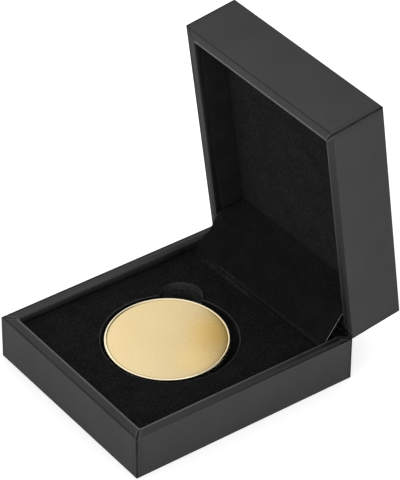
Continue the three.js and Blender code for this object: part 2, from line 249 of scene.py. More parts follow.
goldLook = {
    "shader": {"Metallic": 1.0, "Roughness": 0.3},
    "warm": (0.81, 0.64, 0.345, 1), "pale": (0.835, 0.665, 0.375, 1),
    # laid over the face in this order, each by the attribute of its name: painted reflections, a painted
    # highlight on the rim and a painted dark reflection in the groove
    "parts": {
        "paintedWarmReflection": (0.935, 0.695, 0.32, 1),
        "paintedDarkReflection": (0.90, 0.605, 0.195, 1),
        "rim": (1.0, 0.88, 0.62, 1),
        "groove": (0.34, 0.28, 0.15, 1),
    },
    "cloud": ((26 * mm, 1.0), (0.0, 1.0), (0.35, 0.65)),
    "brushed": (0.09 * mm, 2.0, 0.5, (1, 0.08, 1)),
    "roughness": (0.24, 0.29), "bump": (0.001 * mm, 0.12),
}


def goldMaterial(look):
    material, tree, shader = newMaterial("polishedGold", look["shader"])
    face = mixColours(tree, shaded(tree, *look["cloud"]), look["warm"], look["pale"])
    for part, colour in look["parts"].items():
        face = mixColours(tree, attribute(tree, part), face, colour)
    brushed = grain(tree, *look["brushed"])
    dress(tree, shader, face, brushed, look["bump"], ramp(tree, brushed, look["roughness"]))
    return material


plainLooks = {
    "nickeledSteel": {
        "shader": {"Metallic": 1.0, "Roughness": 0.3},
        "pattern": (0.12 * mm, 3.0, 0.6, (0.05, 1, 1)),
        "dark": (0.46, 0.465, 0.48, 1), "light": (0.6, 0.605, 0.62, 1),
        "roughness": (0.24, 0.42),
        "bump": (0.004 * mm, 0.5),
    },
    "greyboardCard": {
        "shader": {"Roughness": 0.95, "Specular IOR Level": 0.1},
        "pattern": (0.9 * mm, 4.0, 0.65),
        "dark": (0.2, 0.185, 0.155, 1), "light": (0.3, 0.28, 0.24, 1),
        "over": ((0.35 * mm, 2.0, 0.6, (0.1, 0.1, 1)), (0.88, 1.08)),
        "bump": (0.03 * mm, 0.7),
    },
    "denseFoam": {
        "shader": {"Roughness": 0.95, "Specular IOR Level": 0.1},
        "cells": 0.5 * mm, "span": (0.1, 0.6),
        "dark": (0.008, 0.008, 0.009, 1), "light": (0.026, 0.026, 0.028, 1),
        "bump": (0.12 * mm, 0.8),
    },
    "blackCoverPaper": {
        "shader": {"Roughness": 0.8, "Specular IOR Level": 0.25},
        "pattern": (0.4 * mm, 4.0, 0.65),
        "dark": (0.01, 0.01, 0.011, 1), "light": (0.019, 0.019, 0.02, 1),
        "over": ((9 * mm, 2.0), (0.92, 1.08)),
        "bump": (0.02 * mm, 0.6),
    },
    "whiteBackingCloth": {
        "shader": {"Roughness": 0.9, "Specular IOR Level": 0.1},
        "pattern": (0.2 * mm, 2.0, 0.5, (1, 0.3, 0.3)),
        "dark": (0.2, 0.2, 0.195, 1), "light": (0.4, 0.4, 0.385, 1),
        "bump": (0.03 * mm, 0.7),
    },
}


def plainMaterial(name, look):
    material, tree, shader = newMaterial(name, look["shader"])
    if "cells" in look:
        inputs = {"Vector": objectCoordinates(tree), "Scale": 1 / look["cells"]}
        pattern = addNode(tree, "ShaderNodeTexVoronoi", inputs, feature="F1").outputs["Distance"]
    else:
        pattern = grain(tree, *look["pattern"])
    shade = ramp(tree, pattern, span=look.get("span", (0.3, 0.7)))
    tone = mixColours(tree, shade, look["dark"], look["light"])
    if "over" in look:
        tone = tinted(tree, tone, shaded(tree, *look["over"]))
    roughness = ramp(tree, pattern, look["roughness"]) if "roughness" in look else None
    dress(tree, shader, tone, pattern, look["bump"], roughness)
    return material


# Recess for the coin, a round hole with a thumb notch

recess = {
    "radius": 26.8 * mm,
    "shift": (0.3 * mm, 0.35 * mm),
    "notchRadius": 8.6 * mm,
    "notchAngle": math.radians(135),
    # the line of lifted pile with a painted highlight: how far outside the hole, half widths, and drops from
    # the top
    "edgeLine": {
        "line": 0.1 * mm, "core": 0.102 * mm, "width": 0.34 * mm, "drops": (0.5 * mm, 0.15 * mm),
    },
}


def onCircle(centre, radius, angle):
    return centre + radius * Vector((math.cos(angle), math.sin(angle), 0))


def middleOf(low, high, height=0):
    return Vector(((low.x + high.x) / 2, (low.y + high.y) / 2, height))


def recessCentre():
    return middleOf(*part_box("insert_block")) + Vector((*recess["shift"], 0))


def notchCentre():
    return onCircle(recessCentre(), recess["radius"], recess["notchAngle"])


materials = {
    "leatherette": leatheretteMaterial(leatheretteLook),
    "blockVelvet": velvetMaterial("blockVelvet", velvetLooks["insertVelvet"], recess["edgeLine"]),
    "gold": goldMaterial(goldLook),
    **{name: velvetMaterial(name, look) for name, look in velvetLooks.items()},
    **{name: plainMaterial(name, look) for name, look in plainLooks.items()},
}
print("materials made")


# Shared modelling steps

def finishPiece(name, bm, looks, smoothAngle=40, place=None):
    if place:
        bmesh.ops.transform(bm, matrix=place, verts=bm.verts)
    mesh = bpy.data.meshes.new(name)
    bm.to_mesh(mesh)
    bm.free()
    for look in looks:
        mesh.materials.append(materials[look])
    mesh.polygons.foreach_set("use_smooth", [True] * len(mesh.polygons))
    mesh.set_sharp_from_angle(angle=math.radians(smoothAngle))
    piece = bpy.data.objects.new(name, mesh)
    bpy.context.scene.collection.objects.link(piece)
    return piece


def settle(piece, body, node):
    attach(piece, body)
    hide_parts(node)


def pointOutwards(bm, probe):
    # The face that lies furthest along probe has to face that way
    bmesh.ops.recalc_face_normals(bm, faces=bm.faces)
    furthest = max(bm.faces, key=lambda face: face.calc_center_median().dot(probe))
    if furthest.normal.dot(probe) < 0:
        bmesh.ops.reverse_faces(bm, faces=bm.faces)


def freshItems(made, kind):
    return [item for item in made["geom"] if isinstance(item, kind)]


def extrudeChain(bm, chain, places):
    edges = [bm.edges.get((one, two)) for one, two in zip(chain, chain[1:])]
    fresh = freshItems(bmesh.ops.extrude_edge_only(bm, edges=edges), bmesh.types.BMVert)
    after = [min(fresh, key=lambda vert: (vert.co - old.co).length_squared) for old in chain]
    for vert, place in zip(after, places):
        vert.co = place
    return after


def extrudeLoop(bm, edges, move):
    made = bmesh.ops.extrude_edge_only(bm, edges=edges)
    for vert in freshItems(made, bmesh.types.BMVert):
        vert.co = move(vert.co.copy())
    return freshItems(made, bmesh.types.BMEdge)


def roundEdges(bm, edges, offset, segments, clamp=False):
    bmesh.ops.bevel(
        bm, geom=edges, offset=offset, offset_type="OFFSET",
        segments=segments, profile=0.5, affect="EDGES", clamp_overlap=clamp, material=-1,
    )


def softSlab(low, high, edge, segments):
    bm = bmesh.new()
    middle = Matrix.Translation((low + high) / 2)
    bmesh.ops.create_cube(bm, size=1, matrix=middle @ Matrix.Diagonal((*(high - low), 1)))
    roundEdges(bm, bm.edges[:], edge, segments)
    return bm


def cutAcross(bm, axis, places, behind=None):
    # Loops at these places along one axis, through all faces or only those behind a line
    normal = Vector((0, 0, 0))
    normal[axis] = 1
    for place in places:
        geometry = bm.verts[:] + bm.edges[:] + bm.faces[:]
        if behind is not None:
            faces = [face for face in bm.faces if face.calc_center_median().y > behind]
            geometry = faces + list({part for face in faces for part in (*face.verts, *face.edges)})
        bmesh.ops.bisect_plane(bm, geom=geometry, dist=planeGap, plane_co=normal * place, plane_no=normal)


def spin(bm, items, centre, turn, steps, closed=False):
    bmesh.ops.spin(bm, geom=items, cent=centre, axis=(0, 0, 1), angle=turn, steps=steps, use_merge=closed)


def evenCuts(bm, axis, low, high, count):
    cutAcross(bm, axis, [low + (high - low) * step / count for step in range(1, count)])


def bell(value, middle, spread):
    return math.exp(-(((value - middle) / spread) ** 2))


def clamped(value):
    return min(1.0, max(0.0, value))


def waved(co, height, scale):
    return height * noise.noise(co * scale)


# The leatherette skin of one half of the case, made as a quarter with the rim at height zero

wrapLook = {
    "thickness": 0.5 * mm,
    # half of a corner's plan in mm: in from the side, in from the front, painted shade in the crease; the
    # faint lines beside the corner are the edges of folds under the skin, darkened with painted shade
    "wallCorner": [
        (3.0, 0, 0), (2.75, 0, 0), (2.6, 0.03, 0.4), (2.45, 0, 0), (1.85, 0, 0), (1.68, 0.05, 0.65),
        (1.5, 0, 0), (0.9, 0, 0), (0.62, 0, 0.7), (0.14, 0, 0.88), (0.04, 0.04, 0.88),
    ],
    # the mitre fold on the rim, with a pleat on each side: in from the side, rise, painted shade, painted
    # highlight
    "rimCorner": [
        (3.0, 0, 0, 0), (2.6, 0, 0, 0), (2.25, 0, 0, 0), (1.95, 0, 0, 0), (1.65, 0, 0, 0),
        (1.35, 0.02, 0, 0.08), (1.05, 0.05, 0, 0.32), (0.8, 0.04, 0, 0.24), (0.5, 0, 0.3, 0),
        (0.22, -0.1, 0.85, 0), (0, -0.2, 1, 0),
    ],
    # over the outer edge onto the rim in mm: inset, drop, share of the rim's corner, painted shade in the
    # crease
    "outerEdge": [
        (0, 1.6, 0, 0), (0, 0.9, 0, 0), (0, 0.3, 0, 0), (0.01, 0.07, 0.5, 0.1), (0.06, 0.01, 0.9, 0.4),
        (0.22, 0.04, 1, 0.95), (0.45, 0.13, 1, 1), (0.75, 0.1, 1, 0.9), (1.0, 0.02, 1, 0.3), (1.25, 0, 1, 0),
        (1.75, 0.03, 1, 0.05), (2.2, 0.05, 1, 0.12), (2.7, 0.01, 1, 0),
    ],
    "foldFrom": 0.2,
    # levels before the inner edge: distance from it and share of the inner corner
    "nearInner": [(0.75, 0.6), (0.25, 0.85)],
    "innerCornerRadius": 0.9, "innerEdge": 0.4,
    "innerTurns": (0, 15, 30, 45, 60, 75, 90), "foldTurn": 45,
    "lipShare": 0.6, "lipStep": 0.5,
    "rearLip": {
        "height": 0.149 * mm, "depth": 0.5 * mm, "start": 1.0 * mm, "run": 0.7 * mm,
        "dark": 0.95, "outer": 0.04 * mm,
    },
    "wallSlack": 0.25 * mm, "paintedLightMiddle": 0.4,
    "widenFrom": 1.5 * mm, "widenPast": 2 * mm,
    # the mitres keep their painted crease shade; painted shade makes the skin darkest at the hinge and down
    # inside
    "mitre": 0.6 * mm,
    "hinge": {"past": 1, "down": 3, "offCorner": 2.4 * mm, "dark": 0.97},
    "inside": {"down": 3, "dark": 0.9},
}
# Sides hold painted crease shade, painted highlight on the inner edge and painted shade on the top, each
# from front to rear, then painted shade on the inner edge and a painted dark outline, and the rim's extra
# width in mm
baseWrapSettings = {
    "face": 4.8 * mm, "rim": 4.5 * mm, "lip": 2.6, "turnIn": 5 * mm, "turnUnder": 10, "facing": 1,
    # the skin's lower edge hangs past the bottom cover, which is set in 2 mm
    "lowerEdge": [
        (3.0, 0), (1.85, 0), (1.5, -0.2), (1.0, -0.43), (0.4, -0.45), (0.1, -0.44), (0.02, -0.36), (0, -0.2),
    ],
    "sides": {
        "front": ((0.62, 0.62), (0.6, 0.6), (0.07, 0.07), 0, 0, 0),
        "rear": ((0.4, 0.4), (0, 0), (0.97, 0.97), 0.97, 0, 0),
        "right": ((0.0, 1.0), (0.72, 0.24), (0.05, 0.35), 0, 0, 0),
        "left": ((0.9, 0.7), (0, 0), (0, 0), 0.12, 0.75, 0),
    },
    "insideDark": 0.3, "paintedLightGradient": 0.22,
}
lidWrapSettings = {
    "face": 5.1 * mm, "rim": 4.8 * mm, "lip": 1.3, "turnIn": 2.4 * mm, "turnUnder": 6, "facing": -1,
    "depth": 101.3 * mm, "rimLevel": 0.15 * mm, "height": 23.2 * mm,
    "lowerEdge": [(3.0, 0), (1.2, 0), (0.5, 0), (0.2, 0.01), (0.07, 0.05), (0.01, 0.14), (0, 0.3), (0, 1.2)],
    "sides": {
        "front": ((0.75, 0.75), (1.0, 1.0), (0, 0), 0, 0, 1.0),
        "rear": ((0.4, 0.4), (0, 0), (0.97, 0.97), 0.97, 0, 0),
        "right": ((0.15, 0.15), (0.4, 0.16), (0.12, 0.42), 0, 0, 0),
        "left": ((0.9, 0.7), (0, 0), (0, 0), 0.45, 0.6, -0.8),
    },
    "insideDark": 0.5, "paintedLightGradient": 0.13,
}
# half its length, its depth and how far it reaches inside the rim
hingeNotch = (28.5 * mm, 1.2 * mm, 0.6 * mm)


def wrapLevels(settings, height):
    # Each level: inset and height in mm, shares of the rim's and inner corners and of the folds, painted
    # shade
    width = settings["face"] / mm
    foot = settings["rim"] / mm
    back = -height / mm
    levels = [(settings["turnUnder"], back, 0, 0, 0, 0)]
    for inset, rise in settings["lowerEdge"]:
        levels.append((inset, back + rise, 0, 0, 0, 0))
    levels.append((0, back / 2, 0, 0, 0, 0))
    for inset, drop, rimShare, dark in wrapLook["outerEdge"]:
        levels.append((inset, -drop, rimShare, 0, 1 if inset >= wrapLook["foldFrom"] else 0, dark))
    radius = wrapLook["innerEdge"]
    for before, innerShare in wrapLook["nearInner"]:
        levels.append((width - radius - before, 0, 1, innerShare, 1, 0))
    for degrees in wrapLook["innerTurns"]:
        turn = math.radians(degrees)
        inset = width - radius * (1 - math.sin(turn))
        foldShare = max(0.0, 1 - degrees / wrapLook["foldTurn"])
        levels.append((inset, -radius * (1 - math.cos(turn)), 1, 1, foldShare, 0))
    lip = settings["lip"]
    ends = ((width, lip * wrapLook["lipShare"]), (width, lip), (foot, lip + wrapLook["lipStep"]))
    for inset, drop in (*ends, (foot, settings["turnIn"] / mm)):
        levels.append((inset, -drop, 1, 1, 0, 0))
    return levels


def wrapSkin(halfX, halfY, settings, height):
    levels = wrapLevels(settings, height)
    wall = wrapLook["wallCorner"]
    wall = wall + [(across, along, dark) for along, across, dark in reversed(wall[:-1])]
    rim = [(along, 0, rise, dark, paintedHighlight) for along, rise, dark, paintedHighlight in wrapLook["rimCorner"]]
    rim = rim + [(across, along, rise, dark, paintedHighlight) for along, across, rise, dark, paintedHighlight in reversed(rim[:-1])]
    # The inner corner is plainly rounded
    radius = wrapLook["innerCornerRadius"]
    turns = [math.pi / 2 * step / (len(wall) - 1) for step in range(len(wall))]
    inner = [(radius * (1 - math.sin(turn)), radius * (1 - math.cos(turn))) for turn in turns]
    bm = bmesh.new()
    paintedShade, paintedHighlight, paintedLightGradient = (bm.verts.layers.float.new(name) for name in ("paintedShade", "paintedHighlight", "paintedLightGradient"))

    def places(level):
        inset, levelHeight, rimShare, innerShare, foldShare, dark = level
        found = [(Vector((0, -(halfY - inset * mm), levelHeight * mm)), dark, 0.0)]
        for one, two, three in zip(wall, rim, inner):
            p, q = Vector(one[:2]).lerp(Vector(two[:2]), rimShare).lerp(Vector(three), innerShare)
            # painted shade in the corner's creases and folds, painted highlight on the pleats
            shade = max(dark, one[2] * (1 - rimShare), two[3] * foldShare)
            x = halfX - (inset + p) * mm
            y = -(halfY - (inset + q) * mm)
            z = (levelHeight + two[2] * foldShare) * mm
            found.append((Vector((x, y, z)), shade, two[4] * foldShare))
        found.append((Vector((halfX - inset * mm, 0, levelHeight * mm)), dark, 0.0))
        return found

    chain = [bm.verts.new(place) for place, shade, lightPainted in places(levels[0])]
    for one, two in zip(chain, chain[1:]):
        bm.edges.new((one, two))
    for level in levels[1:]:
        made = places(level)
        chain = extrudeChain(bm, chain, [place for place, shade, lightPainted in made])
        for vert, (place, shade, lightPainted) in zip(chain, made):
            vert[paintedShade] = shade
            vert[paintedHighlight] = lightPainted
    for axis in ("X", "Y"):
        geometry = bm.verts[:] + bm.edges[:] + bm.faces[:]
        bmesh.ops.mirror(bm, geom=geometry, matrix=Matrix.Identity(4), merge_dist=mergeGap, axis=axis)
    bmesh.ops.remove_doubles(bm, verts=bm.verts, dist=mergeGap)
    pointOutwards(bm, Vector((1, 0, 0)))
    shadeSides(bm, halfX, halfY, settings, paintedShade, paintedHighlight)
    # Painted shade: the outer walls are painted lighter near the rim and darker away from it
    for vert in bm.verts:
        if max(abs(vert.co.x) - halfX, abs(vert.co.y) - halfY) > -wrapLook["wallSlack"]:
            vert[paintedLightGradient] = settings["paintedLightGradient"] * (wrapLook["paintedLightMiddle"] + vert.co.z / height)
    widenRims(bm, halfX, halfY, settings)
    # The two halves touch along a square lip at the hinge, with painted shade behind it
    lip = wrapLook["rearLip"]
    for vert in bm.verts:
        if vert.co.z > -lip["depth"]:
            share = clamped((vert.co.y - halfY + lip["start"]) / lip["run"])
            vert.co.z += share * (lip["height"] - vert.co.z)
            behind = lip["dark"] if halfY - vert.co.y > lip["outer"] else 0.0
            vert[paintedShade] += share * (behind - vert[paintedShade])
    return bm


def skinZones(settings):
    # Where each shade lies in mm: from and to downwards, then from and to inwards
    face, rim, turnIn = (settings[name] / mm for name in ("face", "rim", "turnIn"))
    return {
        "paintedShade": (-1, 0.6, -1, 1.3),
        "top": (-1, 0.6, 0.9, face + 0.1),
        "outline": (-1, 0.5, -1, 0.3),
        "innerEdge": (-1, 0.35, face - 0.7, 50),
        "inside": (0.35, turnIn + 0.1, rim - 0.1, 50),
    }


def shadeSides(bm, halfX, halfY, settings, paintedShade, paintedHighlight):
    # Painted shade in the edge creases, on the top, on the inner edge and outline, at the hinge and down
    # inside, and a painted highlight on the inner edge
    zones = skinZones(settings)
    hinge, inside = wrapLook["hinge"], wrapLook["inside"]
    hingeReach = (settings["face"] / mm + hinge["past"]) * mm
    for vert in bm.verts:
        across = vert.co.x * settings["facing"]
        gaps = {
            "front": halfY + vert.co.y, "rear": halfY - vert.co.y,
            "right": halfX - across, "left": halfX + across,
        }
        nearest, second = sorted(gaps.values())[:2]
        gap = nearest / mm
        down = -vert.co.z / mm
        along = (vert.co.y + halfY) / (2 * halfY)
        *ranges, edgeDark, outline = settings["sides"][min(gaps, key=gaps.get)][:-1]
        creaseShading, rimHighlight, topDark = (first + (last - first) * along for first, last in ranges)
        found = [name for name, (a, b, c, d) in zones.items() if a <= down < b and c < gap < d]
        if "paintedShade" in found and second - nearest > wrapLook["mitre"]:
            vert[paintedShade] *= creaseShading
        for name, dark in (("top", topDark), ("outline", outline), ("innerEdge", edgeDark)):
            if name in found:
                vert[paintedShade] = max(vert[paintedShade], dark)
        # painted highlight along the rim's inner edge
        if "innerEdge" in found:
            vert[paintedHighlight] = max(vert[paintedHighlight], rimHighlight)
        if gaps["rear"] < hingeReach and down < hinge["down"]:
            if min(gaps["right"], gaps["left"]) > hinge["offCorner"]:
                vert[paintedShade] = hinge["dark"]
        if "inside" in found:
            dark = settings["insideDark"]
            vert[paintedShade] = max(vert[paintedShade], dark + (inside["dark"] - dark) * min(1.0, down / inside["down"]))


def widenRims(bm, halfX, halfY, settings):
    # One side's rim can be wider or narrower than the others
    face = settings["face"]
    start = wrapLook["widenFrom"]
    left = -halfX * settings["facing"]
    for vert in bm.verts:
        for axis, edge, side in ((0, left, "left"), (1, -halfY, "front")):
            amount = settings["sides"][side][-1]
            gap = abs(vert.co[axis] - edge)
            if amount and start < gap < face + wrapLook["widenPast"]:
                inward = -1 if edge > 0 else 1
                vert.co[axis] += inward * amount * mm * min(1.0, (gap - start) / (face - start))


def cutHingeNotch(bm, halfY, face):
    half, depth, inside = hingeNotch
    rear = halfY - face - inside
    cutAcross(bm, 0, (half, -half), rear)
    cutAcross(bm, 2, (-depth,), rear)
    centres = [(face, face.calc_center_median()) for face in bm.faces]
    doomed = [face for face, co in centres if co.y > rear and abs(co.x) < half and co.z > -depth]
    bmesh.ops.delete(bm, geom=doomed, context="FACES")


def thickenSkin(bm, halfX, halfY):
    # The inner side is kept off the outer one at the sharp corners
    outside = set(bm.verts)
    half = wrapLook["thickness"] / 2
    bmesh.ops.solidify(bm, geom=bm.faces[:], thickness=wrapLook["thickness"])
    for vert in bm.verts:
        if vert not in outside:
            vert.co.z = min(vert.co.z, wrapLook["rearLip"]["height"] - half)
            for axis, reach in ((0, halfX), (1, halfY)):
                limit = reach - half
                vert.co[axis] = min(limit, max(-limit, vert.co[axis]))


def makeWrap(name, body, settings, halfY, height, place):
    node = body + "_wrap"
    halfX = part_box(node)[1].x
    bm = wrapSkin(halfX, halfY, settings, height)
    if body == "lid":
        # The lid's skin runs on over its back, the base's is turned under
        openEdges = [edge for edge in bm.edges if edge.is_boundary]
        back = [edge for edge in openEdges if all(abs(vert.co.z + height) < mergeGap for vert in edge.verts)]
        bmesh.ops.edgeloop_fill(bm, edges=back)
        pointOutwards(bm, Vector((1, 0, 0)))
    cutHingeNotch(bm, halfY, settings["face"])
    thickenSkin(bm, halfX, halfY)
    settle(finishPiece(name, bm, ["leatherette"], place=place), body, node)


def makeWraps(base, lid):
    low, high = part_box("base_wrap")
    makeWrap("baseWrap", "base", base, high.y, high.z - low.z, Matrix.Translation((0, 0, high.z)))
    halfY = lid["depth"] / 2
    shut = Matrix.Translation((0, -halfY, lid["rimLevel"])) @ Matrix.Rotation(math.pi, 4, "Y")
    makeWrap("lidWrap", "lid", lid, halfY, lid["height"], lidOpen @ shut)


makeWraps(baseWrapSettings, lidWrapSettings)
print("leatherette skins made")


# Velvet insert with its recess and thumb notch

insertSettings = {
    "recessSteps": 156, "notchSteps": 44, "rings": 11,
    # rounded edges as offset and segments
    "edge": (0.35 * mm, 4), "outerEdge": (0.25 * mm, 3),
    "swell": (0.06 * mm, 120), "swellMargin": 1 * mm, "swellDown": 0.05 * mm,
    "rearDraw": 0.9 * mm, "rearDrawRun": 9 * mm,
    # painted light on the notch's wall, most towards the hinge
    "notchPaintedLight": {"from": 0.3 * mm, "slack": 0.1 * mm, "slant": 0.4, "gain": 0.7},
    # a painted light line where the flap comes down on the insert
    "rearSeamPaintedLight": {
        "strength": 0.52, "down": 0.3 * mm, "run": 2.5 * mm, "until": 25 * mm,
        "middle": -14 * mm, "spread": 17 * mm, "least": 0.8, "noise": 300,
    },
}


def arc(bm, centre, radius, start, turn, height, steps):
    first = onCircle(centre, radius, start)
    first.z = height
    spin(bm, [bm.verts.new(first)], centre, turn, steps)


def recessLoop(bm, centre, height, settings):
    radius = recess["radius"]
    notchRadius = recess["notchRadius"]
    middle = recess["notchAngle"]
    spread = 2 * math.asin(notchRadius / (2 * radius))
    quarter = math.pi / 2 + spread / 2
    turn = 2 * math.pi - 2 * spread
    arc(bm, centre, radius, middle + spread, turn, height, settings["recessSteps"])
    arc(bm, notchCentre(), notchRadius, middle - quarter, 2 * quarter, height, settings["notchSteps"])
    bmesh.ops.remove_doubles(bm, verts=bm.verts, dist=mergeGap)
    return spread, quarter


def rearDraw(across, settings):
    # The insert's rear edge and the flap's foot run nearer to the coin at the left
    return settings["rearDraw"] * (0.5 - 0.5 * across)


def makeInsertBlock(settings):
    low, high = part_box("insert_block")
    centre = recessCentre()
    notch = notchCentre()
    middle = recess["notchAngle"]
    bm = bmesh.new()
    paintedLight = bm.verts.layers.float.new("paintedLight")
    spread, quarter = recessLoop(bm, centre, high.z, settings)
    opening = bm.edges[:]

    def towardsSide(co):
        # Straight out to the block's side, the notch's arc fanned out evenly
        across = co - centre
        angle = math.atan2(across.y, across.x)
        if across.xy.length > recess["radius"] + sideGap:
            local = co - notch
            turn = math.atan2(local.y, local.x) - middle
            turn = (turn + math.pi) % (2 * math.pi) - math.pi
            angle = middle + turn / quarter * spread
        way = Vector((math.cos(angle), math.sin(angle), 0))
        slants = [axis for axis in (0, 1) if abs(way[axis]) > planeGap]
        reach = min(((high if way[axis] > 0 else low)[axis] - centre[axis]) / way[axis] for axis in slants)
        return Vector((centre.x + way.x * reach, centre.y + way.y * reach, co.z))

    outer = extrudeLoop(bm, opening, towardsSide)
    outerVerts = list({vert for edge in outer for vert in edge.verts})
    for x in (low.x, high.x):
        for y in (low.y, high.y):
            corner = Vector((x, y, high.z))
            min(outerVerts, key=lambda vert: (vert.co - corner).length).co = corner
    across = [edge for edge in bm.edges if edge not in set(opening) and edge not in set(outer)]
    bmesh.ops.subdivide_edges(bm, edges=across, cuts=settings["rings"], use_grid_fill=True)

    def onSide(edge, slack):
        return [min(*(vert.co - low).xy, *(high - vert.co).xy) < slack for vert in edge.verts]

    opening = [edge for edge in bm.edges if edge.is_boundary and not any(onSide(edge, mm))]
    inside = set(opening)
    outer = [edge for edge in bm.edges if edge.is_boundary and edge not in inside]
    down = Vector((0, 0, high.z - low.z))
    lowered = [extrudeLoop(bm, edges, lambda co: co - down) for edges in (opening, outer)]
    bmesh.ops.bridge_loops(bm, edges=lowered[0] + lowered[1])
    bmesh.ops.remove_doubles(bm, verts=bm.verts, dist=mergeGap)
    pointOutwards(bm, Vector((0, 0, 1)))
    for name in ("edge", "outerEdge"):
        rims = []
        for edge in bm.edges:
            level = all(abs(vert.co.z - high.z) < mergeGap for vert in edge.verts)
            upright = any(abs(face.normal.z) < 0.2 for face in edge.link_faces)
            if level and upright and all(onSide(edge, sideGap)) == (name == "outerEdge"):
                rims.append(edge)
        roundEdges(bm, rims, *settings[name], clamp=True)
    seamLight, pile = settings["rearSeamPaintedLight"], settings["notchPaintedLight"]
    for vert in bm.verts:
        gap = (vert.co - centre).xy.length - recess["radius"]
        inNotch = gap > pile["from"]
        gap = min(gap, (vert.co - notch).xy.length - recess["notchRadius"])
        towardsHinge = (vert.co.y - notch.y + pile["slant"] * (vert.co.x - notch.x)) / recess["notchRadius"]
        # painted light on the notch's wall
        vert[paintedLight] = clamped(1.0 + pile["gain"] * towardsHinge) if inNotch and gap < pile["slack"] else 0.0
        # painted light along the seam with the flap
        nearFlap = vert.co.z > high.z - seamLight["down"] and vert.co.y > high.y - seamLight["run"]
        if nearFlap and vert.co.x < seamLight["until"]:
            ends = seamLight["strength"] * bell(vert.co.x, seamLight["middle"], seamLight["spread"])
            vert[paintedLight] = max(vert[paintedLight], ends * (seamLight["least"] + waved(vert.co, 1, seamLight["noise"])))
        if vert.co.z > high.z - settings["swellDown"] and gap > settings["swellMargin"]:
            vert.co.z += waved(vert.co, *settings["swell"])
        drawn = max(0.0, (vert.co.y - high.y) / settings["rearDrawRun"] + 1)
        vert.co.y -= rearDraw(vert.co.x / high.x, settings) * drawn
    piece = finishPiece("insertBlock", bm, ["blockVelvet"], 50)
    settle(piece, "base", "insert_block")


floorSettings = {
    "segments": 60, "wave": (0.05 * mm, 160), "thickness": 0.35 * mm,
    # painted light at the foot of the notch's wall
    "pile": {"strength": 0.6, "outside": 1.5 * mm, "inside": 4 * mm, "before": 3 * mm},
}


def makeInsertFloor(settings):
    low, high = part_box("insert_floor_lining")
    bm = bmesh.new()
    size = Matrix.Diagonal((*(high - low).xy / 2, 1, 1))
    place = Matrix.Translation(middleOf(low, high, high.z)) @ size
    count = settings["segments"]
    bmesh.ops.create_grid(bm, x_segments=count, y_segments=count, size=1, matrix=place)
    paintedLight = bm.verts.layers.float.new("paintedLight")
    notch = notchCentre()
    pile = settings["pile"]
    for vert in bm.verts:
        gap = recess["notchRadius"] - (vert.co - notch).xy.length
        nearWall = -pile["outside"] < gap < pile["inside"] and vert.co.y > notch.y - pile["before"]
        # painted light at the foot of the notch's wall
        vert[paintedLight] = pile["strength"] * min(1.0, 1 - gap / pile["inside"]) if nearWall else 0.0
        vert.co.z -= settings["wave"][0] + waved(vert.co, *settings["wave"])
    bmesh.ops.solidify(bm, geom=bm.faces[:], thickness=settings["thickness"])
    piece = finishPiece("insertFloor", bm, ["insertVelvet"], 50)
    settle(piece, "base", "insert_floor_lining")


foamEdge = (0.8 * mm, 3)


def makeInsertFoam(edge):
    bm = softSlab(*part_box("insert_support"), *edge)
    piece = finishPiece("insertFoam", bm, ["denseFoam"], 50)
    settle(piece, "base", "insert_support")


makeInsertFoam(foamEdge)
makeInsertBlock(insertSettings)
makeInsertFloor(floorSettings)
print("insert made")


# Coin, a blank polished disc with a raised rim

coinSettings = {
    "steps": 256, "rings": 11, "scale": 0.976, "tilt": 1.6, "lean": 0.5,
    # lengths in millimetres
    "shift": (-0.32, 0.76, 0.5),
    "radius": 25, "faceEdge": 23.55, "faceHeight": 2.95, "dish": 1.0, "topFrom": 1.6, "rimFrom": 24.15,
    # a painted dark reflection inside the rim, darkest on the side that lies left in the camera's view
    "groove": {"from": 23.65, "to": 24.05, "middle": 0.45, "slope": 0.4},
    # painted reflections, dark and warm: middle, strength at the middle and reach
    "paintedReflections": {"paintedDarkReflection": ((9.2, 19.4), 1.1, 17.5), "paintedWarmReflection": ((17.9, 3.9), 1.2, 13)},
    # the raised rim and the side, as distance from the middle and height over the underside
    "rim": [
        (23.72, 2.96), (23.82, 2.95), (23.92, 2.95), (24.02, 2.97), (24.1, 3.02), (24.2, 3.1), (24.34, 3.17),
        (24.55, 3.2), (24.76, 3.17), (24.9, 3.08), (24.98, 2.94), (25, 2.8),
        (25, 1.6),
        (25, 0.4), (24.98, 0.26), (24.9, 0.12), (24.74, 0.03), (24.5, 0), (24.2, 0.01), (24.0, 0.06),
        (23.86, 0.16), (23.6, 0.25), (23.2, 0.25), (18, 0.25), (0, 0.25),
    ],
}


